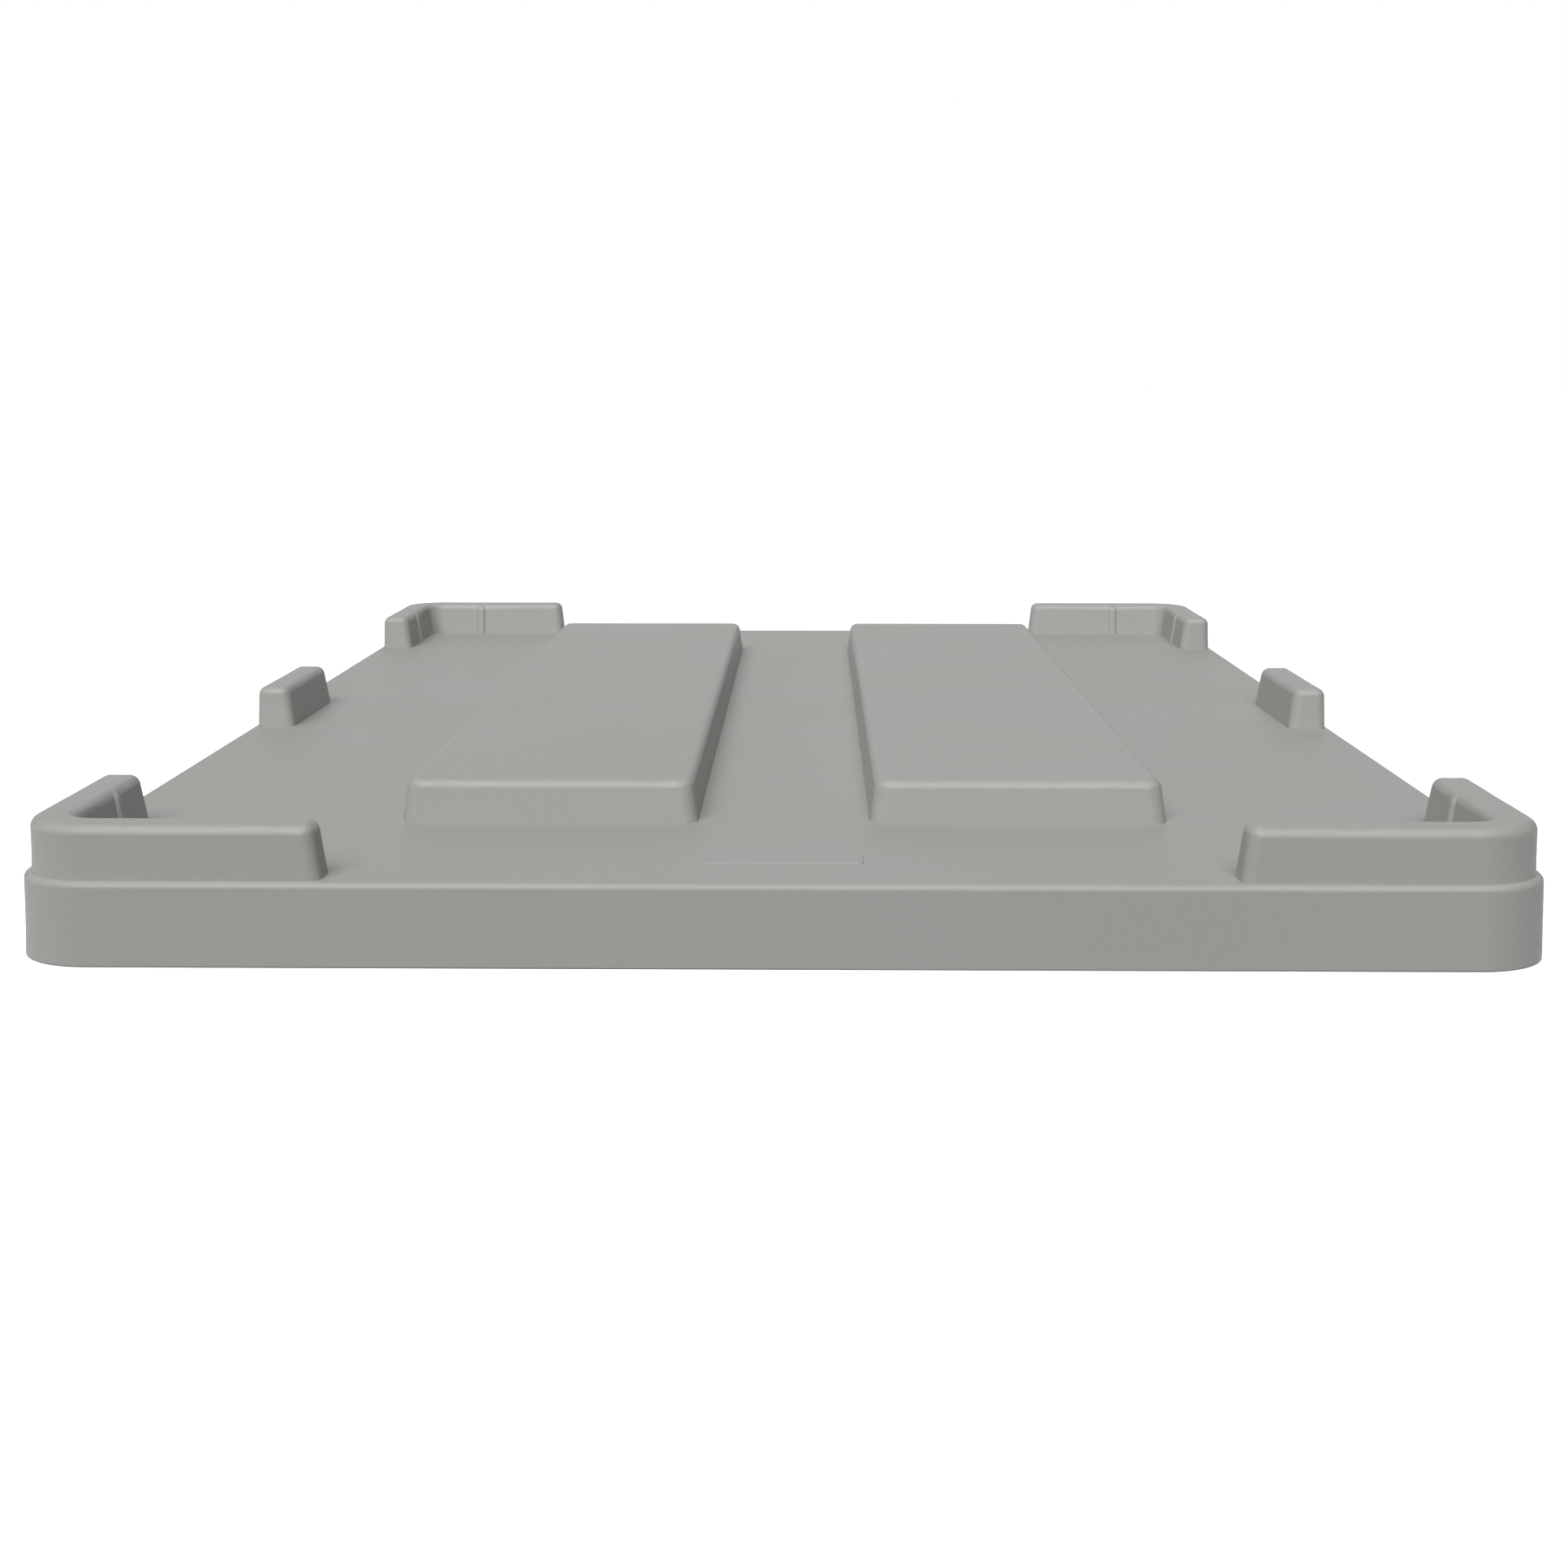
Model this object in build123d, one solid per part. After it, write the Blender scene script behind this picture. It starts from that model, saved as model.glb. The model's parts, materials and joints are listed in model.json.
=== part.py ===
from build123d import *
import os

# Stacking lid for a 1200 x 800 mm pallet container, formed from two welded plastic sheets.
# X runs across the 800 mm side, Y along the 1200 mm side and Z up. Millimetres.
# The origin is the centre of the footprint, at the bottom of the skirt.

os.makedirs("parts", exist_ok=True)

# ---- driving dimensions ----

width = 800.0
length = 1200.0
deck_height = 44.7           # the deck's upper face, and so the skirt's height
sheet = 3.0                  # wall of both sheets after forming
corner_radius = 41.5         # plan radius of the skirt's corners
skirt_lean = 0.7             # how far the skirt leans in up to the deck
deck_edge_radius = 3.6       # rounding between the deck and the skirt
skirt_foot_radius = 1.0      # rounding of the skirt's outer lower edge

# corner and side locators
locator_rise = 29.2          # height above the deck
locator_inset = 4.6          # from the footprint's edge to a locator's outer face
locator_width = 27.5         # thickness of a locator at the deck
outer_lean = 0.4             # how far the outer face leans in over the rise
inner_lean = 4.4             # the same for the inner face
end_lean = 3.4               # the same for a locator's ends
leg_length = 159.0           # both legs of a corner locator, outside, at the deck
inner_corner_radius = 10.7   # plan radius inside a corner locator, at the deck
locator_end_radius = 7.0     # plan radius of the upright edges at a locator's ends
locator_edge_radius = 6.0    # rounding of a locator's top edges
side_locator_length = 137.0  # at the deck

# guide ribs on the inner faces of the corner locators
rib_width = 9.0
rib_proud = 2.2
rib_edge_radius = 3.6        # rounding along a rib's two sides
rib_top_radius = 7.0         # curve that takes a rib's crest over into the locator's top
rib_top_gap = 0.8            # how far a rib ends below the locator's top
rib_x = 320.0                # place of the rib on the leg along the 800 mm side
rib_y = 491.0                # place of the rib on the leg along the 1200 mm side

# raised plateaus
plateau_rise = 25.0
plateau_inner_x = 50.0       # side facing the middle lane, at the deck
plateau_outer_x = 222.6      # side facing the outer lane, at the deck
plateau_length = 873.0       # at the deck
plateau_lean = 3.1
plateau_plan_radius = 9.0
plateau_edge_radius = 6.0

# blank maker's panel on the deck
panel_plate = (88.0, 24.0, 0.6)
panel_plate_radius = 4.0
panel_plate_edge = 0.5       # rounding of its upper edge
panel_plate_y = -537.0

# lower sheet
skirt_band = 18.0            # overall thickness of the hollow skirt
channel_width = 30.0         # channel that takes the container's rim
channel_ceiling = 28.0       # face that the container's rim meets
panel_underside = 16.0       # lower face of the centre panel
step_lean = 3.0              # lean of the step between the channel and the panel
inner_skirt_lean = 1.5       # lean of the inner skirt wall
opening_corner_radius = 24.0
panel_corner_radius = 20.0
under_edge_radius = 2.0      # rounding of the centre panel's lower edge
cut_past = 1.0               # how far a hollow's cutter reaches below the panel

# kiss-off cups, sized on the side that faces the upper sheet
cup_wall = 2.5
cup_mouth_radius = 3.0       # rounding of a cup's mouth, on the underside
cup_foot_radius = 20.0
cup_top_radius = 12.0
cup_rows = 13
cup_pitch = 82.0
lane_cup_x = (0.0, 254.0, 312.0)
end_cup_x = (72.0, 148.0)
tall_cup_foot_radius = 24.0
tall_cup_top_radius = 13.0
tall_cup_rows = 7
tall_cup_pitch = 120.0
tall_cup_offset = 46.0       # from the plateau's middle

# stiffener tubes, their saddles and their plugs
tube_side = 40.0
tube_wall = 1.5
tube_corner_radius = 3.0
tube_length = 840.0
tube_play = 0.5              # gap between a tube and the inside of its plateau
saddle_width = 36.0
saddle_length = 60.0
saddle_radius = 6.0
saddle_y = (-300.0, 0.0, 300.0)
plug_head = 4.0
plug_depth = 16.0
plug_wall = 2.0
plug_gap = 0.05              # between a plug and its tube, each side

# vent plugs
vent_hole_radius = 6.0
vent_gap = 0.05
vent_head_radius = 9.0
vent_head_height = 1.6
vent_stem_length = 7.0
vent_bore_radius = 3.5
vent_floor = 1.2             # thickness left under the vent plug's bore
vent_x = 325.0
vent_y = 522.0

# ---- derived dimensions ----

half_width = width / 2
half_length = length / 2
deck_underside = deck_height - sheet
locator_top = deck_height + locator_rise
plateau_top = deck_height + plateau_rise
plateau_ceiling = plateau_top - sheet
plateau_x = (plateau_inner_x + plateau_outer_x) / 2
plateau_width = plateau_outer_x - plateau_inner_x
panel_topside = panel_underside + sheet
saddle_top = plateau_ceiling - tube_play - tube_side
tube_z = saddle_top + tube_side / 2
opening_half_width = half_width - skirt_band
opening_half_length = half_length - skirt_band
panel_half_width = opening_half_width - channel_width
panel_half_length = opening_half_length - channel_width


# ---- shared helpers ----

def plan(half_x, half_y, radius):
    """Rounded rectangle about the origin."""
    return RectangleRounded(2 * half_x, 2 * half_y, radius)


def tapered(base, top, z_base, z_top):
    """Block between two plan outlines that have the same corners."""
    return loft([Pos(0, 0, z_base) * base, Pos(0, 0, z_top) * top], ruled=True)


def skirt_plan(z, wall=0.0):
    """Plan of the leaning skirt at height z, moved inward by a wall."""
    inset = wall + skirt_lean * z / deck_height
    return plan(half_width - inset, half_length - inset, corner_radius - inset)


def round_top(block, radius):
    """Round the edges of a block's top face."""
    return fillet(block.faces().sort_by(Axis.Z)[-1].edges(), radius)


def on_both_sides(block):
    """A block on the +X side and its mirror image."""
    return [block, mirror(block, about=Plane.YZ)]


def in_four_corners(block):
    """A block in the +X +Y corner and its three mirror images."""
    pair = on_both_sides(block)
    return pair + [mirror(one, about=Plane.XZ) for one in pair]


# ---- upper sheet ----

def locator_outline(outer_x, outer_y, thickness, end_x, end_y, outer_radius, inner_radius, end_radius):
    """Plan of a corner locator: an L with its outer corner at outer_x, outer_y."""
    inner_x = outer_x - thickness
    inner_y = outer_y - thickness
    corners = [(outer_x, outer_y), (end_x, outer_y), (end_x, inner_y),
               (inner_x, inner_y), (inner_x, end_y), (outer_x, end_y)]
    radii = [outer_radius, end_radius, end_radius, inner_radius, end_radius, end_radius]
    return make_face(FilletPolyline(corners, radius=radii, close=True))


def corner_locator(wall=0.0):
    """Corner locator. A wall above zero gives the hollow inside it."""
    outer_x = half_width - locator_inset - wall
    outer_y = half_length - locator_inset - wall
    end_x = half_width - locator_inset - leg_length + wall
    end_y = half_length - locator_inset - leg_length + wall
    thickness = locator_width - 2 * wall
    outer_radius = corner_radius - locator_inset - wall
    inner_radius = inner_corner_radius + wall
    end_radius = locator_end_radius - wall
    base = locator_outline(outer_x, outer_y, thickness, end_x, end_y,
                           outer_radius, inner_radius, end_radius)
    top = locator_outline(outer_x - outer_lean, outer_y - outer_lean,
                          thickness - outer_lean - inner_lean, end_x + end_lean, end_y + end_lean,
                          outer_radius - outer_lean, inner_radius + inner_lean, end_radius)
    block = tapered(base, top, deck_height - wall, locator_top - wall)
    return round_top(block, locator_edge_radius - wall)


def guide_rib():
    """Rounded rib for a face that meets the deck at X = 0 and leans to +X. It starts inside the deck."""
    back = inner_lean + locator_edge_radius
    foot_x = -rib_proud - inner_lean * sheet / locator_rise
    crest_z = locator_rise - rib_top_gap
    corners = [(back, -sheet), (foot_x, -sheet), (inner_lean - rib_proud, crest_z), (back, crest_z)]
    outline = FilletPolyline(corners, radius=[0, 0, rib_top_radius, 0], close=True)
    block = extrude(make_face(Plane.XZ * outline), rib_width / 2, both=True)
    block = fillet(block.faces().filter_by(Axis.Y).edges(), rib_edge_radius)
    return Pos(0, 0, deck_height) * block


def side_locator(wall=0.0):
    """Block locator at the middle of the +X side."""
    span_x = locator_width - 2 * wall
    span_y = side_locator_length - 2 * wall
    middle_x = half_width - locator_inset - locator_width / 2
    radius = locator_end_radius - wall
    base = Pos(middle_x, 0) * RectangleRounded(span_x, span_y, radius)
    top = (Pos(middle_x + (inner_lean - outer_lean) / 2, 0)
           * RectangleRounded(span_x - inner_lean - outer_lean, span_y - 2 * end_lean, radius))
    block = tapered(base, top, deck_height - wall, locator_top - wall)
    return round_top(block, locator_edge_radius - wall)


def plateau(wall=0.0):
    """Raised plateau on the +X half of the deck."""
    base = RectangleRounded(plateau_width - 2 * wall, plateau_length - 2 * wall, plateau_plan_radius - wall)
    top = RectangleRounded(plateau_width - 2 * (wall + plateau_lean),
                           plateau_length - 2 * (wall + plateau_lean), plateau_plan_radius - wall)
    block = tapered(base, top, deck_height - wall, plateau_top - wall)
    return Pos(plateau_x, 0) * round_top(block, plateau_edge_radius - wall)


def upper_sheet():
    """Deck, skirt, locators and plateaus, formed from one sheet."""
    inner_x = half_width - locator_inset - locator_width
    inner_y = half_length - locator_inset - locator_width
    locator = corner_locator()
    locator += Pos(inner_x, rib_y) * guide_rib()
    locator += Pos(rib_x, inner_y) * Rot(0, 0, 90) * guide_rib()

    body = round_top(tapered(skirt_plan(0), skirt_plan(deck_height), 0, deck_height), deck_edge_radius)
    body = fillet(body.faces().sort_by(Axis.Z)[0].edges(), skirt_foot_radius)
    plate = extrude(RectangleRounded(panel_plate[0], panel_plate[1], panel_plate_radius), panel_plate[2])
    plate = round_top(plate, panel_plate_edge)
    features = in_four_corners(locator) + on_both_sides(side_locator()) + on_both_sides(plateau())
    features.append(Pos(0, panel_plate_y, deck_height) * plate)
    body += features

    cavity = tapered(skirt_plan(0, sheet), skirt_plan(deck_underside, sheet), 0, deck_underside)
    hollows = in_four_corners(corner_locator(sheet))
    hollows += on_both_sides(side_locator(sheet)) + on_both_sides(plateau(sheet))
    return body - (cavity + hollows)


# ---- lower sheet ----

def cup_body(foot_radius, top_radius, top_z):
    """Solid of a kiss-off cup, from the centre panel up to the upper sheet."""
    outline = Polyline((0, panel_underside), (foot_radius, panel_underside), (foot_radius, panel_topside),
                       (top_radius, top_z), (0, top_z), close=True)
    return revolve(make_face(Plane.XZ * outline), Axis.Z)


def cup_hollow(foot_radius, top_radius, top_z):
    """Hollow of a kiss-off cup, open below, with a rounded mouth."""
    below = panel_underside - cut_past
    mouth = foot_radius + cup_mouth_radius
    corners = [(0, below), (mouth, below), (mouth, panel_underside),
               (foot_radius - cup_wall, panel_underside),
               (top_radius - cup_wall, top_z - sheet), (0, top_z - sheet)]
    radii = [0, 0, 0, cup_mouth_radius, cup_mouth_radius, 0]
    outline = FilletPolyline(corners, radius=radii, close=True)
    return revolve(make_face(Plane.XZ * outline), Axis.Z)


def cup_places():
    """Where the low cups stand (under the lanes and the ends) and the tall ones (in the plateaus)."""
    row_y = [cup_pitch * (row - (cup_rows - 1) / 2) for row in range(cup_rows)]
    tall_y = [tall_cup_pitch * (row - (tall_cup_rows - 1) / 2) for row in range(tall_cup_rows)]
    lane_x = sorted({side * x for x in lane_cup_x for side in (-1, 1)})
    low = [(x, y) for x in lane_x for y in row_y]
    low += [(side * x, y) for x in end_cup_x for side in (-1, 1) for y in (row_y[0], row_y[-1])]
    tall = [(side * (plateau_x + offset), y)
            for side in (-1, 1) for offset in (-tall_cup_offset, tall_cup_offset) for y in tall_y]
    return low, tall


def lower_sheet():
    """Inner skirt, rim channel and centre panel, formed from one sheet."""
    flange = tapered(skirt_plan(0, sheet), skirt_plan(sheet, sheet), 0, sheet)
    channel_top = channel_ceiling + sheet
    shell = tapered(
        plan(opening_half_width + sheet, opening_half_length + sheet, opening_corner_radius + sheet),
        plan(opening_half_width + sheet - inner_skirt_lean, opening_half_length + sheet - inner_skirt_lean,
             opening_corner_radius + sheet), 0, channel_top)
    recess = tapered(
        plan(panel_half_width - sheet, panel_half_length - sheet, panel_corner_radius - sheet),
        plan(panel_half_width - sheet + step_lean, panel_half_length - sheet + step_lean,
             panel_corner_radius - sheet), panel_topside, channel_top)
    opening = tapered(
        plan(opening_half_width, opening_half_length, opening_corner_radius),
        plan(opening_half_width - inner_skirt_lean, opening_half_length - inner_skirt_lean,
             opening_corner_radius), 0, channel_ceiling)
    panel = tapered(
        plan(panel_half_width, panel_half_length, panel_corner_radius),
        plan(panel_half_width + step_lean, panel_half_length + step_lean, panel_corner_radius),
        panel_underside, channel_ceiling)
    panel = fillet(panel.faces().sort_by(Axis.Z)[0].edges(), under_edge_radius)
    body = flange + shell - recess - (opening - panel)

    low, tall = cup_places()
    low_cup = (cup_foot_radius, cup_top_radius, deck_underside)
    tall_cup = (tall_cup_foot_radius, tall_cup_top_radius, plateau_ceiling)
    solids = [Pos(x, y) * cup_body(*low_cup) for x, y in low]
    solids += [Pos(x, y) * cup_body(*tall_cup) for x, y in tall]
    hollows = [Pos(x, y) * cup_hollow(*low_cup) for x, y in low]
    hollows += [Pos(x, y) * cup_hollow(*tall_cup) for x, y in tall]

    saddle = RectangleRounded(saddle_width, saddle_length, saddle_radius)
    saddle_hollow = RectangleRounded(saddle_width - 2 * sheet, saddle_length - 2 * sheet,
                                     saddle_radius - sheet)
    saddle_block = extrude(saddle, saddle_top - panel_underside)
    saddle_cut = Pos(0, 0, -cut_past) * extrude(saddle_hollow, saddle_top - panel_topside + cut_past)
    for x in (-plateau_x, plateau_x):
        for y in saddle_y:
            solids.append(Pos(x, y, panel_underside) * saddle_block)
            hollows.append(Pos(x, y, panel_underside) * saddle_cut)
    for x in (-vent_x, vent_x):
        for y in (-vent_y, vent_y):
            hollows.append(Pos(x, y, panel_underside + sheet / 2) * Cylinder(vent_hole_radius, 2 * sheet))
    return (body + solids) - hollows


# ---- stiffener tubes and plugs ----

def square_bar(side, radius, y_start, y_end):
    """Square bar along Y, between two stations."""
    face = Plane.XZ.offset(-y_start) * RectangleRounded(side, side, radius)
    return extrude(face, y_start - y_end)


def stiffener_tube():
    """Steel tube along Y, centred on its own axis."""
    bore_side = tube_side - 2 * tube_wall
    end = tube_length / 2
    outside = square_bar(tube_side, tube_corner_radius, -end, end)
    return outside - square_bar(bore_side, tube_corner_radius - tube_wall, -end, end)


def tube_plug():
    """End plug for the +Y end of a tube, centred on the tube's axis."""
    end = tube_length / 2
    stem_side = tube_side - 2 * tube_wall - 2 * plug_gap
    stem_radius = tube_corner_radius - tube_wall
    head = square_bar(tube_side, tube_corner_radius, end, end + plug_head)
    stem = square_bar(stem_side, stem_radius, end - plug_depth, end)
    hollow = square_bar(stem_side - 2 * plug_wall, stem_radius, end - plug_depth, end)
    return head + (stem - hollow)


def vent_plug():
    """Push-in plug on the Z axis: a flat head below the sheet and a hollow stem through it."""
    head = Pos(0, 0, panel_underside - vent_head_height / 2) * Cylinder(vent_head_radius, vent_head_height)
    head = fillet(head.edges().sort_by(Axis.Z)[0], vent_head_height / 2)
    stem_z = panel_underside + vent_stem_length / 2
    stem = Pos(0, 0, stem_z) * Cylinder(vent_hole_radius - vent_gap, vent_stem_length)
    bore = Pos(0, 0, stem_z + vent_floor) * Cylinder(vent_bore_radius, vent_stem_length)
    return head + stem - bore


# ---- sub-parts and export ----

nodes = {"upper_sheet": upper_sheet(), "lower_sheet": lower_sheet()}
for side_name, side in (("left", -1), ("right", 1)):
    on_axis = Pos(side * plateau_x, 0, tube_z)
    nodes[f"{side_name}_stiffener_tube"] = on_axis * stiffener_tube()
    nodes[f"{side_name}_rear_tube_plug"] = on_axis * tube_plug()
    nodes[f"{side_name}_front_tube_plug"] = on_axis * Rot(0, 0, 180) * tube_plug()
    for end_name, end in (("front", -1), ("rear", 1)):
        nodes[f"{side_name}_{end_name}_vent_plug"] = Pos(side * vent_x, end * vent_y) * vent_plug()

for name, solid in nodes.items():
    solid.label = name
    export_step(solid, f"parts/{name}.step")
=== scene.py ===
import json
import math

import bmesh
import bpy
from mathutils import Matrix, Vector
from mathutils.geometry import delaunay_2d_cdt


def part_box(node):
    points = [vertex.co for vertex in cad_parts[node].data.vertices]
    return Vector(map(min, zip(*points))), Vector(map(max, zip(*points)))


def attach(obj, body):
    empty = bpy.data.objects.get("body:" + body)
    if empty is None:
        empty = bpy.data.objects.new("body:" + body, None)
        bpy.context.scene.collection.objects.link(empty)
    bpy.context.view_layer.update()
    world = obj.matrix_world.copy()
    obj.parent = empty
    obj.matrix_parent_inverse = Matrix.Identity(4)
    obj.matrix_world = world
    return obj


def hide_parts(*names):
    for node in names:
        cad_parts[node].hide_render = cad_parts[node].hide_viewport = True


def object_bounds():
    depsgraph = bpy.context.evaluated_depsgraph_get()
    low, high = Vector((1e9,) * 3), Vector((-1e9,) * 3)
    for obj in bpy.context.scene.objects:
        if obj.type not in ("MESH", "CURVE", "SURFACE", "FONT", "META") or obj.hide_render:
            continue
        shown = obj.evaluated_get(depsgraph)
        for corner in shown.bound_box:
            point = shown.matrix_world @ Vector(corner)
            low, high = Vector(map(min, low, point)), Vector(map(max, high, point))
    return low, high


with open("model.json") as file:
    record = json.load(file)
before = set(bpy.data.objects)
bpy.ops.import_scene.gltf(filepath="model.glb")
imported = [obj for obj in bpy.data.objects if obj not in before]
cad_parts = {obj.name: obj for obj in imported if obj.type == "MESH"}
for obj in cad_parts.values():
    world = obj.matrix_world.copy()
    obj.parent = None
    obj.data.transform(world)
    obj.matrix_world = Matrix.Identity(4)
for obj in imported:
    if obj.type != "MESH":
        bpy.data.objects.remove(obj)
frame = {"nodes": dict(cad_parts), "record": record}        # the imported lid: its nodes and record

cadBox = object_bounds()
scene = bpy.context.scene
lidNodes = frame["nodes"]
mm = 0.001
print("frame loaded:", len(lidNodes), "CAD nodes")


def linearColour(hexColour):
    # sRGB hex to the linear colour that the sockets take
    channels = [int(hexColour[i:i + 2], 16) / 255 for i in (1, 3, 5)]
    return [c / 12.92 if c <= 0.04045 else ((c + 0.055) / 1.055) ** 2.4 for c in channels] + [1.0]


def addNode(tree, kind, inputs=None, **settings):
    # one node with its settings; an input is either a value or the socket that feeds it
    node = tree.nodes.new(kind)
    for name, value in settings.items():
        setattr(node, name, value)
    for name, value in (inputs or {}).items():
        if isinstance(value, bpy.types.NodeSocket):
            tree.links.new(value, node.inputs[name])
        else:
            node.inputs[name].default_value = value
    return node


def newMaterial(name):
    material = bpy.data.materials.new(name)
    material.use_nodes = True
    material.node_tree.nodes.clear()
    return material, material.node_tree


def perMetre(size):
    # pattern scale for a feature of this real size in millimetres, on Object coordinates
    return 1000 / size


polyethyleneIor = 1.5            # polyethylene, dense or soft

hdpeFinish = {
    "colourDark": "#959893",     # grey pigment, slightly green
    "colourLight": "#9a9b98",
    "cloudSize": 160,            # mm, slow drift of the pigment in the extruded sheet
    "fleckSize": 5,              # mm
    "grainSize": 1.4,            # mm; the tool's grain is about 0.4 mm, drawn coarser so that it shows
    "grainHeight": 0.012,        # mm
    "waveSize": 90,              # mm, gentle unevenness of a formed wall
    "waveHeight": 0.10,          # mm
    "roughness": 0.52,
    "roughnessSpread": 0.05,
    "rubHeights": (2.0, 0.2),    # mm below a top: where stacking's polish starts, and where it is full
    "rubRoughness": 0.03,
    "specular": 0.42,
}


def hdpeMaterial(name, finish, rubTops):
    # grey HDPE sheet, pressure-formed on a grained tool: satin, a waxy soft light and no sharp glints
    material, tree = newMaterial(name)
    place = addNode(tree, "ShaderNodeTexCoord").outputs["Object"]
    cloud = addNode(tree, "ShaderNodeTexNoise", {
        "Vector": place, "Scale": perMetre(finish["cloudSize"]),
        "Detail": 3, "Roughness": 0.5}).outputs[0]
    fleck = addNode(tree, "ShaderNodeTexNoise", {
        "Vector": place, "Scale": perMetre(finish["fleckSize"]),
        "Detail": 2, "Roughness": 0.6}).outputs[0]
    both = addNode(tree, "ShaderNodeMath", {0: cloud, 1: fleck}, operation="ADD").outputs[0]
    tone = addNode(tree, "ShaderNodeMapRange", {
        "Value": both, "From Min": 0.7, "From Max": 1.3}).outputs[0]
    colour = addNode(tree, "ShaderNodeMix", {
        0: tone, 6: linearColour(finish["colourDark"]), 7: linearColour(finish["colourLight"])},
        data_type="RGBA").outputs[2]

    grain = addNode(tree, "ShaderNodeTexNoise", {
        "Vector": place, "Scale": perMetre(finish["grainSize"]),
        "Detail": 2, "Roughness": 0.55}).outputs[0]
    wave = addNode(tree, "ShaderNodeTexNoise", {
        "Vector": place, "Scale": perMetre(finish["waveSize"]),
        "Detail": 1, "Roughness": 0.4}).outputs[0]
    relief = addNode(tree, "ShaderNodeBump", {
        "Height": wave, "Strength": 1.0, "Distance": finish["waveHeight"] * mm}).outputs[0]
    relief = addNode(tree, "ShaderNodeBump", {
        "Height": grain, "Strength": 1.0, "Distance": finish["grainHeight"] * mm,
        "Normal": relief}).outputs[0]

    half = finish["roughnessSpread"]
    rough = addNode(tree, "ShaderNodeMapRange", {
        "Value": fleck, "From Min": 0.3, "From Max": 0.7,
        "To Min": finish["roughness"] - half, "To Max": finish["roughness"] + half}).outputs[0]
    if rubTops:
        # the tops that carry the next pallet are rubbed a little smoother
        start, full = finish["rubHeights"]
        height = addNode(tree, "ShaderNodeSeparateXYZ", {0: place}).outputs["Z"]
        for top in rubTops:
            near = addNode(tree, "ShaderNodeMapRange", {
                "Value": height, "From Min": top - start * mm, "From Max": top - full * mm}).outputs[0]
            patch = addNode(tree, "ShaderNodeMath", {0: near, 1: cloud}, operation="MULTIPLY").outputs[0]
            drop = addNode(tree, "ShaderNodeMath", {
                0: patch, 1: finish["rubRoughness"]}, operation="MULTIPLY").outputs[0]
            rough = addNode(tree, "ShaderNodeMath", {0: rough, 1: drop}, operation="SUBTRACT").outputs[0]
    shader = addNode(tree, "ShaderNodeBsdfPrincipled", {
        "Base Color": colour, "Roughness": rough, "Normal": relief,
        "IOR": polyethyleneIor, "Specular IOR Level": finish["specular"]})
    addNode(tree, "ShaderNodeOutputMaterial", {"Surface": shader.outputs[0]})
    return material


ventFinish = {
    "colourDark": "#868a84",     # the same grey, a little darker than the sheet
    "colourLight": "#8f928d",
    "flowSize": 6,               # mm, streaks left by the melt as it filled the mould
    "grainSize": 0.8,            # mm; spark-eroded grain is about 0.1 mm, drawn coarser so that it shows
    "grainHeight": 0.010,        # mm
    "gateRadii": (0.96, 1.6),    # mm, bottom and rim of the dimple left by the gate, mid head
    "gateDepth": 0.15,           # mm
    "roughness": 0.45,
    "roughnessSpread": 0.06,
    "specular": 0.4,
}


def ventPlugMaterial(name, finish, centre):
    # injection-moulded HDPE: smoother than the formed sheet, with a gate mark in the head
    material, tree = newMaterial(name)
    spot = addNode(tree, "ShaderNodeTexCoord").outputs["Object"]
    place = addNode(tree, "ShaderNodeMapping", {
        "Vector": spot, "Location": (-centre.x, -centre.y, 0)}).outputs[0]
    flow = addNode(tree, "ShaderNodeTexNoise", {
        "Vector": place, "Scale": perMetre(finish["flowSize"]),
        "Detail": 3, "Distortion": 1.5}).outputs[0]
    colour = addNode(tree, "ShaderNodeMix", {
        0: flow, 6: linearColour(finish["colourDark"]), 7: linearColour(finish["colourLight"])},
        data_type="RGBA").outputs[2]
    half = finish["roughnessSpread"]
    rough = addNode(tree, "ShaderNodeMapRange", {
        "Value": flow, "From Min": 0.3, "From Max": 0.7,
        "To Min": finish["roughness"] - half, "To Max": finish["roughness"] + half}).outputs[0]
    flat = addNode(tree, "ShaderNodeVectorMath", {
        0: place, 1: (1, 1, 0)}, operation="MULTIPLY").outputs[0]
    radius = addNode(tree, "ShaderNodeVectorMath", {0: flat}, operation="LENGTH").outputs["Value"]
    bottom, rim = finish["gateRadii"]
    gate = addNode(tree, "ShaderNodeMapRange", {
        "Value": radius, "From Min": bottom * mm, "From Max": rim * mm}).outputs[0]
    grain = addNode(tree, "ShaderNodeTexNoise", {
        "Vector": place, "Scale": perMetre(finish["grainSize"]), "Detail": 2}).outputs[0]
    relief = addNode(tree, "ShaderNodeBump", {
        "Height": gate, "Strength": 1.0, "Distance": finish["gateDepth"] * mm}).outputs[0]
    relief = addNode(tree, "ShaderNodeBump", {
        "Height": grain, "Strength": 1.0, "Distance": finish["grainHeight"] * mm,
        "Normal": relief}).outputs[0]
    shader = addNode(tree, "ShaderNodeBsdfPrincipled", {
        "Base Color": colour, "Roughness": rough, "Normal": relief,
        "IOR": polyethyleneIor, "Specular IOR Level": finish["specular"]})
    addNode(tree, "ShaderNodeOutputMaterial", {"Surface": shader.outputs[0]})
    return material


zincFinish = {
    "colourDark": "#9aa0a4",     # dull zinc grey, slightly blue
    "colourLight": "#b9bdbf",
    "spangleSize": 9,            # mm across one zinc crystal
    "frostSize": 0.7,            # mm, feathery growth inside a crystal
    "rollStretch": 60,           # rolling marks run this many times longer along the tube than across
    "rollSize": 1.2,             # mm across one rolling mark
    "rollHeight": 0.008,         # mm
    "roughness": 0.38,
    "roughnessSpread": 0.12,
    "frostShare": 0.3,           # how much of the tone comes from the frost
}


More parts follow.
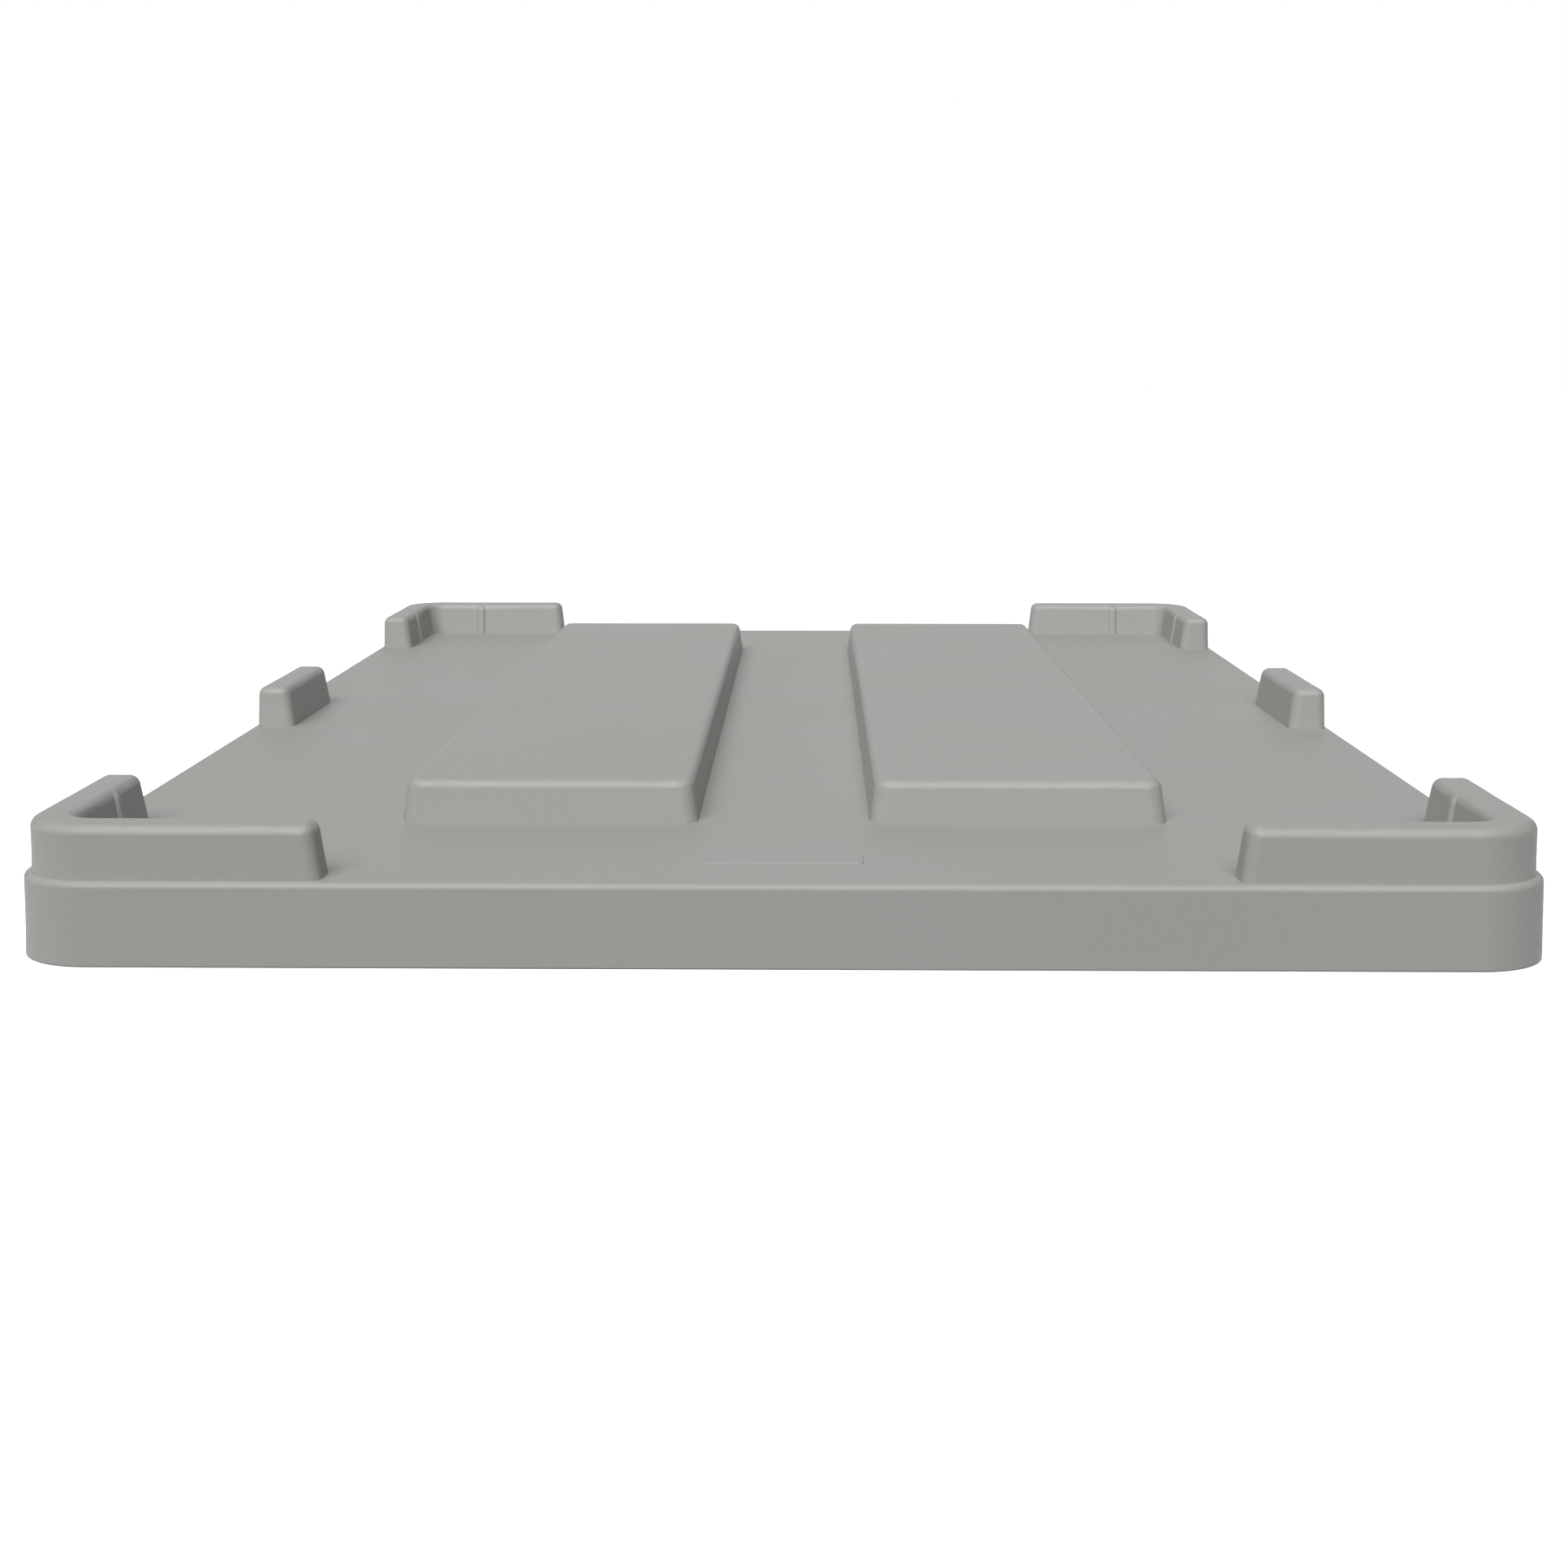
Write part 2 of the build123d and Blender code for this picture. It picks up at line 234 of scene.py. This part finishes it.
def zincMaterial(name, finish):
    # hot-dip galvanised steel tube: crystals that each catch the light at their own angle
    material, tree = newMaterial(name)
    place = addNode(tree, "ShaderNodeTexCoord").outputs["Object"]
    spangle = addNode(tree, "ShaderNodeTexVoronoi", {
        "Vector": place, "Scale": perMetre(finish["spangleSize"]), "Randomness": 1.0}, feature="F1")
    crystal = addNode(tree, "ShaderNodeSeparateColor", {"Color": spangle.outputs["Color"]}).outputs[0]
    frost = addNode(tree, "ShaderNodeTexNoise", {
        "Vector": place, "Scale": perMetre(finish["frostSize"]),
        "Detail": 4, "Distortion": 0.8}).outputs[0]
    tone = addNode(tree, "ShaderNodeMix", {
        "Factor": finish["frostShare"], 2: crystal, 3: frost}).outputs[0]
    colour = addNode(tree, "ShaderNodeMix", {
        0: tone, 6: linearColour(finish["colourDark"]), 7: linearColour(finish["colourLight"])},
        data_type="RGBA").outputs[2]
    half = finish["roughnessSpread"]
    rough = addNode(tree, "ShaderNodeMapRange", {
        "Value": tone,
        "To Min": finish["roughness"] - half, "To Max": finish["roughness"] + half}).outputs[0]
    along = addNode(tree, "ShaderNodeMapping", {
        "Vector": place, "Scale": (1, 1 / finish["rollStretch"], 1)}).outputs[0]
    roll = addNode(tree, "ShaderNodeTexNoise", {
        "Vector": along, "Scale": perMetre(finish["rollSize"]), "Detail": 2}).outputs[0]
    relief = addNode(tree, "ShaderNodeBump", {
        "Height": roll, "Strength": 1.0, "Distance": finish["rollHeight"] * mm}).outputs[0]
    shader = addNode(tree, "ShaderNodeBsdfPrincipled", {
        "Base Color": colour, "Roughness": rough, "Normal": relief, "Metallic": 1.0})
    addNode(tree, "ShaderNodeOutputMaterial", {"Surface": shader.outputs[0]})
    return material


capFinish = {
    "colourDark": "#151515",     # carbon black
    "colourLight": "#242423",
    "bloomSize": 12,             # mm, pale slip-agent bloom in patches
    "grainSize": 0.9,            # mm; the mould's grain is finer, drawn coarser so that it shows
    "grainHeight": 0.012,        # mm
    "roughness": 0.42,
    "roughnessSpread": 0.08,
    "specular": 0.45,
}


def tubePlugMaterial(name, finish):
    # injection-moulded LDPE: soft, waxy black with a pale bloom
    material, tree = newMaterial(name)
    place = addNode(tree, "ShaderNodeTexCoord").outputs["Object"]
    bloom = addNode(tree, "ShaderNodeTexNoise", {
        "Vector": place, "Scale": perMetre(finish["bloomSize"]),
        "Detail": 4, "Roughness": 0.6}).outputs[0]
    colour = addNode(tree, "ShaderNodeMix", {
        0: bloom, 6: linearColour(finish["colourDark"]), 7: linearColour(finish["colourLight"])},
        data_type="RGBA").outputs[2]
    half = finish["roughnessSpread"]
    rough = addNode(tree, "ShaderNodeMapRange", {
        "Value": bloom, "From Min": 0.3, "From Max": 0.7,
        "To Min": finish["roughness"] - half, "To Max": finish["roughness"] + half}).outputs[0]
    grain = addNode(tree, "ShaderNodeTexNoise", {
        "Vector": place, "Scale": perMetre(finish["grainSize"]), "Detail": 2}).outputs[0]
    relief = addNode(tree, "ShaderNodeBump", {
        "Height": grain, "Strength": 1.0, "Distance": finish["grainHeight"] * mm}).outputs[0]
    shader = addNode(tree, "ShaderNodeBsdfPrincipled", {
        "Base Color": colour, "Roughness": rough, "Normal": relief,
        "IOR": polyethyleneIor, "Specular IOR Level": finish["specular"]})
    addNode(tree, "ShaderNodeOutputMaterial", {"Surface": shader.outputs[0]})
    return material


room = {
    "floorColour": "#fafafa",
    "floorRoughness": 0.9,
    "floorHalf": 40.0,           # m
    "floorGlow": 0.35,           # keeps the floor white where the lid shades it
    "skyStrength": 0.10,
    # name: strength, direction it comes from, spread in degrees, casts shadows
    "lights": {
        "keyLight": (3.68, (-0.10, -0.645, 0.765), 52, True),
        "leftFill": (0.62, (-1.0, 0.0, 0.0), 60, False),
        "rightFill": (0.10, (1.0, 0.0, 0.0), 60, False),
        "backFill": (0.5, (0.0, 0.95, 0.2), 60, True),
    },
}

camera = {
    "place": (16.4, -1747.5, 300.3),   # mm
    "pitch": 7.61,                     # degrees down
    "yaw": -0.80,                      # degrees to the left
    "lens": 52.73,                     # mm
    "sensor": 36,                      # mm
    "shift": (0.0023, -0.0625),
    "clip": (0.05, 200),               # m
}


def makeLight(name, strength, source, spread, castsShadow):
    light = bpy.data.lights.new(name, "SUN")
    light.energy = strength
    light.angle = math.radians(spread)
    light.use_shadow = castsShadow
    lamp = bpy.data.objects.new(name, light)
    lamp.rotation_euler = Vector(source).to_track_quat("Z", "Y").to_euler()
    scene.collection.objects.link(lamp)


def makeRoom():
    floorMesh = bpy.data.meshes.new("paleFloor")
    half = room["floorHalf"]
    corners = [(-half, -half, 0), (half, -half, 0), (half, half, 0), (-half, half, 0)]
    floorMesh.from_pydata(corners, [], [(0, 1, 2, 3)])
    floor = bpy.data.objects.new("paleFloor", floorMesh)
    scene.collection.objects.link(floor)
    material, tree = newMaterial("paintedFloorMatt")      # matt white studio floor
    shader = addNode(tree, "ShaderNodeBsdfPrincipled", {
        "Base Color": linearColour(room["floorColour"]), "Roughness": room["floorRoughness"],
        "Specular IOR Level": 0.0,
        "Emission Color": linearColour(room["floorColour"]), "Emission Strength": room["floorGlow"]})
    addNode(tree, "ShaderNodeOutputMaterial", {"Surface": shader.outputs[0]})
    floorMesh.materials.append(material)
    floor.visible_diffuse = False      # keeps the floor from lighting the skirt from below

    for name, settings in room["lights"].items():
        makeLight(name, *settings)

    world = bpy.data.worlds.new("studio")
    scene.world = world
    world.use_nodes = True
    tree = world.node_tree
    tree.nodes.clear()
    seen = addNode(tree, "ShaderNodeLightPath").outputs["Is Camera Ray"]
    strength = addNode(tree, "ShaderNodeMapRange", {
        "Value": seen, "To Min": room["skyStrength"], "To Max": 1.0}).outputs[0]
    back = addNode(tree, "ShaderNodeBackground", {"Color": (1, 1, 1, 1), "Strength": strength})
    addNode(tree, "ShaderNodeOutputWorld", {"Surface": back.outputs[0]})
    scene.view_settings.view_transform = "Standard"


def makeCamera():
    data = bpy.data.cameras.new("camera")
    data.sensor_width = camera["sensor"]
    data.lens = camera["lens"]
    data.shift_x, data.shift_y = camera["shift"]
    data.clip_start, data.clip_end = camera["clip"]
    body = bpy.data.objects.new("camera", data)
    body.location = [v * mm for v in camera["place"]]
    body.rotation_euler = (math.radians(90 - camera["pitch"]), 0, -math.radians(camera["yaw"]))
    scene.collection.objects.link(body)
    scene.camera = body


lowerSheet = {                     # millimetres, as in the part's own source
    "flange": (3.0, 3.0),          # inset of the flange's outer edge, and its thickness
    "openingInset": 18.0,          # inner skirt, at the bottom
    "innerSkirtLean": 1.5,
    "channelCeiling": 28.0,
    "panelInset": 48.0,            # centre panel's edge, at its underside
    "stepLean": 3.0,
    "panelUnderside": 16.0,
    "wall": 3.0,
    "underBends": (0.3, 1.0, 1.5, 2.5, 2.0),      # radii along the underside, from the rim inward
    "topBends": (1.5, 2.5, 2.0, 1.5),             # the same along the top
    "panelFaceInsets": (53.0, 55.0),              # where the panel's flat underside and top start
    # (inset, plan radius)
    "cornerRadii": ((3, 38.5), (15, 27), (18, 24), (45, 20), (48, 20), (51, 17)),
    "bendSteps": 4,
    "topBendSteps": 2,             # the top is out of sight, inside the lid
    "cornerSteps": 12,
    "weldDistance": 0.02,
    "sharpAngle": 50,              # degrees
}

cups = {                           # millimetres; a round cup meets the upper sheet with its closed end
    "wall": 2.5,
    "underBends": (3.0, 2.5),      # radii at a cup's mouth and at its closed end, on the underside
    "overBends": (1.0, 1.5),       # the same on the upper side
    "low": (20.0, 12.0, 41.7),     # foot radius, end radius and end height, on the upper side
    "tall": (24.0, 13.0, 66.7),
    "saddleCore": (12.0, 24.0), "saddleRadius": 6.0, "saddleZ": 26.2, "saddleWall": 3.0,
    "saddleLean": 0.4, "saddleUnderBends": (1.5, 1.2), "saddleOverBends": (0.6, 1.0),
    "ventRadius": 6.0, "ventBevel": 0.15, "ventRim": 1.0,
    "segments": 32,
    "rows": 13, "pitch": 82.0,
    "lanes": (-312.0, -254.0, 0.0, 254.0, 312.0),
    "endRows": 2, "endStart": 72.0, "endStep": 76.0,
    "tallRows": 7, "tallPitch": 120.0, "tallLanes": (90.3, 182.3),
    "saddleRows": 3, "saddleX": 136.3, "saddlePitch": 300.0,
    "ventX": 325.0, "ventY": 522.0,
}

supportGap = 0.8                   # mm between a bend and the loop that keeps the flat beside it flat
nearEnough = 1e-7                  # m, closer points are one point in the panel's triangulation


def bentLine(corners, steps):
    # section line with an arc at each inner corner; a corner is (across, z, radius)
    line = [Vector(corners[0][:2]).to_3d()]
    for before, corner, after in zip(corners, corners[1:], corners[2:]):
        tip, radius = Vector(corner[:2]).to_3d(), corner[2]
        back = (Vector(before[:2]).to_3d() - tip).normalized()
        ahead = (Vector(after[:2]).to_3d() - tip).normalized()
        half = back.angle(ahead) / 2
        reach = radius / math.tan(half)
        centre = tip + (back + ahead).normalized() * radius / math.sin(half)
        first, last = tip + back * reach - centre, tip + ahead * reach - centre
        line.append(centre + first + back * supportGap)
        arc = [first.slerp(last, step / steps).normalized() * radius for step in range(steps + 1)]
        line += [centre + spoke for spoke in arc]
        line.append(centre + last + ahead * supportGap)
    line.append(Vector(corners[-1][:2]).to_3d())
    return [(point.x, point.y) for point in line]


def roundedRing(halfX, halfY, radius, z, steps, straight=True):
    # rounded rectangle, anticlockwise seen from above, in metres
    ring = []
    for turn, (signX, signY) in enumerate(((1, 1), (-1, 1), (-1, -1), (1, -1))):
        centre = Vector((signX * (halfX - radius), signY * (halfY - radius), z))
        angles = [math.radians(90 * (turn + step / steps)) for step in range(steps + 1)]
        arc = [centre + radius * Vector((math.cos(angle), math.sin(angle), 0)) for angle in angles]
        if straight:     # one more point on the straight, each side of the arc
            arc.insert(0, arc[0] + supportGap * Vector((math.sin(angles[0]), -math.cos(angles[0]), 0)))
            arc.append(arc[-1] + supportGap * Vector((-math.sin(angles[-1]), math.cos(angles[-1]), 0)))
        else:
            arc.pop()    # a full circle's arcs share their ends
        ring += arc
    return [point * mm for point in ring]


def addRings(mesh, rings):
    return [[mesh.verts.new(point) for point in ring] for ring in rings]


def bridgeRings(mesh, rings, flip=False):
    # quads between each ring of vertices and the next
    for first, second in zip(rings, rings[1:]):
        for i in range(len(first)):
            j = i - 1
            face = [first[j], first[i], second[i], second[j]]
            mesh.faces.new(face[::-1] if flip else face)


def meshPiece(name, mesh, finish):
    data = bpy.data.meshes.new(name)
    data.materials.append(finish)
    mesh.to_mesh(data)
    mesh.free()
    piece = bpy.data.objects.new(name, data)
    scene.collection.objects.link(piece)
    return piece


def cupRing(cup, radius, z):
    coreX, coreY = cup["core"]
    steps = cups["segments"] // 4
    return roundedRing(coreX + radius, coreY + radius, radius, z, steps, straight=coreX > 0)


def makeCup(name, cup, finish):
    # the skins of one drawn cup, open where they join the sheet; a hole is one skin, open at both ends
    mesh = bmesh.new()
    for line, facesUp in ((cup["under"], False), (cup["over"], True)):
        if not line:
            continue
        rings = addRings(mesh, [cupRing(cup, radius, z) for radius, z in line])
        bridgeRings(mesh, rings, flip=not facesUp)
        if cup["closed"]:
            mesh.faces.new(rings[-1] if facesUp else rings[-1][::-1])
    return meshPiece(name, mesh, finish)


def cupLine(mouth, mouthZ, end, endZ, bends, steps):
    # section of one skin of a cup, as (radius, height), without the flats it runs out into
    line = bentLine([(2 * mouth, mouthZ), (mouth, mouthZ, bends[0]), (end, endZ, bends[1]), (0, endZ)], steps)
    return line[1:-1]


def drawnCup(foot, top, topZ):
    cupWall, sheetWall, underside = cups["wall"], lowerSheet["wall"], lowerSheet["panelUnderside"]
    under = cupLine(foot - cupWall, underside, top - cupWall, topZ - sheetWall,
                    cups["underBends"], lowerSheet["bendSteps"])
    over = cupLine(foot, underside + sheetWall, top, topZ, cups["overBends"], lowerSheet["topBendSteps"])
    return {"core": (0, 0), "under": under, "over": over, "closed": True}


def saddleCup():
    # the shallow rounded box that a tube rests on
    underside, top = lowerSheet["panelUnderside"], cups["saddleZ"]
    outer, lean = cups["saddleRadius"], cups["saddleLean"]
    inner = outer - cups["saddleWall"]
    under = cupLine(inner, underside, inner - lean, top - lowerSheet["wall"],
                    cups["saddleUnderBends"], lowerSheet["bendSteps"])
    over = cupLine(outer, underside + lowerSheet["wall"], outer - lean, top,
                   cups["saddleOverBends"], lowerSheet["topBendSteps"])
    return {"core": cups["saddleCore"], "under": under, "over": over, "closed": True}


def ventHole():
    underside = lowerSheet["panelUnderside"]
    radius, bevel = cups["ventRadius"], cups["ventBevel"]
    wall = [(radius + cups["ventRim"], underside), (radius + bevel, underside),
            (radius, underside + bevel), (radius, underside + lowerSheet["wall"])]
    return {"core": (0, 0), "under": wall, "over": [], "closed": False}


def cupRows():
    # every straight row of cups: (kind, how many, first place, step), in millimetres
    rows = []
    span = cups["pitch"] * (cups["rows"] - 1)
    for x in cups["lanes"]:
        rows.append(("lowCup", cups["rows"], (x, -span / 2), (0, cups["pitch"])))
    for y in (-span / 2, span / 2):
        for side in (-1, 1):
            rows.append(("lowCup", cups["endRows"], (side * cups["endStart"], y), (side * cups["endStep"], 0)))
    tallSpan = cups["tallPitch"] * (cups["tallRows"] - 1)
    for side in (-1, 1):
        for x in cups["tallLanes"]:
            rows.append(("tallCup", cups["tallRows"], (side * x, -tallSpan / 2), (0, cups["tallPitch"])))
        pitch, ventY = cups["saddlePitch"], cups["ventY"]
        rows.append(("saddle", cups["saddleRows"], (side * cups["saddleX"], -pitch), (0, pitch)))
        rows.append(("ventHole", 2, (side * cups["ventX"], -ventY), (0, 2 * ventY)))
    return rows


def panelFace(mesh, outline, holes, z, facesUp):
    # one flat face of the centre panel, triangulated round its holes
    points = [Vector(point[:2]) for point in outline]
    loops = [list(range(len(points)))]
    for hole in holes:
        loops.append(list(range(len(points), len(points) + len(hole))))
        points += [Vector(point[:2]) for point in hole]
    edges = [(loop[i - 1], loop[i]) for loop in loops for i in range(len(loop))]
    flat, _, faces, *_ = delaunay_2d_cdt(points, edges, [], 1, nearEnough)
    inside = [holeTest(loop, points) for loop in loops[1:]]
    corners = [mesh.verts.new((point.x, point.y, z)) for point in flat]
    for face in faces:
        middle = sum((flat[i] for i in face), Vector((0, 0))) / len(face)
        if not any(test(middle) for test in inside):
            order = [corners[i] for i in face]
            mesh.faces.new(order if facesUp else order[::-1])


def holeTest(loop, points):
    # true for a place within a convex loop
    ring = [points[i] for i in loop]

    def within(place):
        return all((ring[i] - ring[i - 1]).cross(place - ring[i - 1]) > 0 for i in range(len(ring)))
    return within


def sheetSection():
    # section of the flange, inner skirt, rim channel and panel edge: (inset, height), underside then top
    base, wall = lowerSheet, lowerSheet["wall"]
    flangeInset, flangeTop = base["flange"]
    opening, ceiling = base["openingInset"], base["channelCeiling"]
    step, under = base["panelInset"] - base["stepLean"], base["panelUnderside"]
    panel, lean = base["panelInset"], base["innerSkirtLean"]
    underEnd, topEnd = base["panelFaceInsets"]
    underPath = [(flangeInset, 0), (opening, 0), (opening + lean, ceiling), (step, ceiling), (panel, under)]
    topPath = [(opening - wall, flangeTop), (opening - wall + lean, ceiling + wall),
               (panel, ceiling + wall), (panel + wall, under + wall)]
    lines = []
    for path, bends, end, steps in (
            (underPath, base["underBends"], (underEnd, under), base["bendSteps"]),
            (topPath, base["topBends"], (topEnd, under + wall), base["topBendSteps"])):
        corners = [(*place, radius) for place, radius in zip(path, bends)]
        lines.append(bentLine([(flangeInset, flangeTop), *corners, end], steps))
    return lines


def sheetRing(inset, z):
    # plan of the lower sheet's walls at this inset from the lid's edge
    table = lowerSheet["cornerRadii"]
    radius = table[-1][1] if inset > table[-1][0] else table[0][1]
    for (nearInset, nearRadius), (farInset, farRadius) in zip(table, table[1:]):
        if nearInset <= inset <= farInset:
            share = (inset - nearInset) / (farInset - nearInset)
            radius = nearRadius + share * (farRadius - nearRadius)
    low, high = cadBox
    halfX, halfY = (high.x - low.x) / 2 / mm, (high.y - low.y) / 2 / mm
    return roundedRing(halfX - inset, halfY - inset, radius, z, lowerSheet["cornerSteps"])


def formedRowTree():
    # a row of cups set into a holed sheet and welded to it along their open edges
    tree = bpy.data.node_groups.new("formedRow", "GeometryNodeTree")
    for name, kind in (("Sheet", "Geometry"), ("Cup", "Object"), ("Count", "Int"), ("Start", "Vector"),
                       ("Step", "Vector"), ("Weld Distance", "Float"), ("Finish", "Material")):
        tree.interface.new_socket(name, in_out="INPUT", socket_type="NodeSocket" + kind)
    tree.interface.new_socket("Sheet", in_out="OUTPUT", socket_type="NodeSocketGeometry")
    given = addNode(tree, "NodeGroupInput").outputs
    places = addNode(tree, "GeometryNodeMeshLine", {
        "Count": given["Count"], "Start Location": given["Start"], "Offset": given["Step"]},
        mode="OFFSET")
    cup = addNode(tree, "GeometryNodeObjectInfo", {"Object": given["Cup"]})
    row = addNode(tree, "GeometryNodeInstanceOnPoints", {
        "Points": places.outputs[0], "Instance": cup.outputs["Geometry"]})
    row = addNode(tree, "GeometryNodeRealizeInstances", {"Geometry": row.outputs[0]})
    both = addNode(tree, "GeometryNodeJoinGeometry", {"Geometry": row.outputs[0]})
    tree.links.new(given["Sheet"], both.inputs[0])
    welded = addNode(tree, "GeometryNodeMergeByDistance", {
        "Geometry": both.outputs[0], "Distance": given["Weld Distance"]})
    smooth = addNode(tree, "GeometryNodeSetShadeSmooth", {"Geometry": welded.outputs[0]})
    finished = addNode(tree, "GeometryNodeSetMaterial", {
        "Geometry": smooth.outputs[0], "Material": given["Finish"]})
    addNode(tree, "NodeGroupOutput", {"Sheet": finished.outputs[0]})
    return tree


def plainMesh(piece):
    # the finished shape as the piece's own mesh, with no modifier left on it
    finished = piece.evaluated_get(bpy.context.evaluated_depsgraph_get())
    shape = bpy.data.meshes.new_from_object(finished)
    piece.modifiers.clear()
    piece.data = shape
    shape.name = piece.name
    return piece


def makeLowerSheet(finish):
    kinds = {"lowCup": drawnCup(*cups["low"]), "tallCup": drawnCup(*cups["tall"]),
             "saddle": saddleCup(), "ventHole": ventHole()}
    rows = cupRows()
    underside = lowerSheet["panelUnderside"]
    panelTop = underside + lowerSheet["wall"]
    underHoles, topHoles = [], []
    for kind, count, start, step in rows:
        cup = kinds[kind]
        for i in range(count):
            place = Vector((start[0] + i * step[0], start[1] + i * step[1], 0)) * mm
            mouth = cup["under"][0]
            foot = cup["over"][0] if cup["over"] else cup["under"][-1]
            underHoles.append([point + place for point in cupRing(cup, *mouth)])
            topHoles.append([point + place for point in cupRing(cup, *foot)])

    underLine, topLine = sheetSection()
    mesh = bmesh.new()
    rings = [sheetRing(inset, z) for inset, z in underLine]
    bridgeRings(mesh, addRings(mesh, rings), flip=True)
    panelFace(mesh, rings[-1], underHoles, underside * mm, facesUp=False)
    rings = [sheetRing(inset, z) for inset, z in topLine]
    bridgeRings(mesh, addRings(mesh, rings))
    panelFace(mesh, rings[-1], topHoles, panelTop * mm, facesUp=True)
    bmesh.ops.remove_doubles(mesh, verts=mesh.verts[:], dist=lowerSheet["weldDistance"] * mm)
    piece = meshPiece("lowerSheetFormed", mesh, finish)

    tree = formedRowTree()
    sockets = {item.name: item.identifier
               for item in tree.interface.items_tree if item.in_out == "INPUT"}
    shapes = {kind: makeCup(kind, cup, finish) for kind, cup in kinds.items()}
    for kind, count, start, step in rows:
        row = piece.modifiers.new(kind, "NODES")
        row.node_group = tree
        row[sockets["Cup"]] = shapes[kind]
        row[sockets["Count"]] = count
        row[sockets["Start"]] = [value * mm for value in start] + [0.0]
        row[sockets["Step"]] = [value * mm for value in step] + [0.0]
        row[sockets["Weld Distance"]] = lowerSheet["weldDistance"] * mm
        row[sockets["Finish"]] = finish
    plainMesh(piece)
    for shape in shapes.values():
        bpy.data.objects.remove(shape)
    piece.data.set_sharp_from_angle(angle=math.radians(lowerSheet["sharpAngle"]))
    return piece


upperSheet = {                     # millimetres
    "weldDistance": 0.002,
    # the plateaus' long edges, on both sides of the middle
    "longEdgeX": (49.0, 224.0),    # between these
    "longEdgeY": 400.0,            # nearer than this to mid length
    "longEdgeZ": 42.0,             # above this
    "sharpAngle": 40,              # degrees
}


def makeUpperSheet(finish):
    # the CAD sheet without the points along the plateaus' long rounded edges, so that each edge runs
    # straight from end to end and the light runs along it evenly
    mesh = bmesh.new()
    mesh.from_mesh(lidNodes["upper_sheet"].data)
    bmesh.ops.remove_doubles(mesh, verts=mesh.verts[:], dist=upperSheet["weldDistance"] * mm)
    near, far = upperSheet["longEdgeX"]
    along = [vert for vert in mesh.verts
             if near * mm < abs(vert.co.x) < far * mm
             and abs(vert.co.y) < upperSheet["longEdgeY"] * mm
             and vert.co.z > upperSheet["longEdgeZ"] * mm]
    print("points taken out of the long edges:", len(along))
    bmesh.ops.dissolve_verts(mesh, verts=along)
    bmesh.ops.triangulate(mesh, faces=mesh.faces[:], quad_method="BEAUTY", ngon_method="BEAUTY")
    piece = meshPiece("upperSheetFormed", mesh, finish)
    if "custom_normal" in piece.data.attributes:
        piece.data.attributes.remove(piece.data.attributes["custom_normal"])
    piece.data.shade_smooth()
    piece.data.set_sharp_from_angle(angle=math.radians(upperSheet["sharpAngle"]))
    weighted = piece.modifiers.new("evenNormals", "WEIGHTED_NORMAL")
    weighted.keep_sharp = True
    return plainMesh(piece)


makeRoom()
makeCamera()
print("room, lights and camera made")

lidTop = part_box("upper_sheet")[1].z
plateauTop = next(mount["pos_m"][2] for mount in frame["record"]["mounts"]
                  if "plateau" in mount["name"])
topMaterial = hdpeMaterial("hdpeFormedTop", hdpeFinish, (lidTop, plateauTop))
underMaterial = hdpeMaterial("hdpeFormedUnderside", hdpeFinish, ())
tubeMaterial = zincMaterial("hotDipZinc", zincFinish)
capMaterial = tubePlugMaterial("ldpeMouldedBlack", capFinish)
for side in ("left", "right"):
    lidNodes[side + "_stiffener_tube"].material_slots[0].material = tubeMaterial
    for end in ("front", "rear"):
        lidNodes[f"{side}_{end}_tube_plug"].material_slots[0].material = capMaterial
        low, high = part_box(f"{side}_{end}_vent_plug")
        plugMaterial = ventPlugMaterial(f"hdpeMoulded_{side}_{end}", ventFinish, (low + high) / 2)
        lidNodes[f"{side}_{end}_vent_plug"].material_slots[0].material = plugMaterial
print("finishes made")

lowerPiece = makeLowerSheet(underMaterial)
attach(lowerPiece, "root")
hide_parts("lower_sheet")
print("lower sheet made:", len(lowerPiece.data.polygons), "faces")

upperPiece = makeUpperSheet(topMaterial)
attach(upperPiece, "root")
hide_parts("upper_sheet")
print("upper sheet made:", len(upperPiece.data.polygons), "faces")
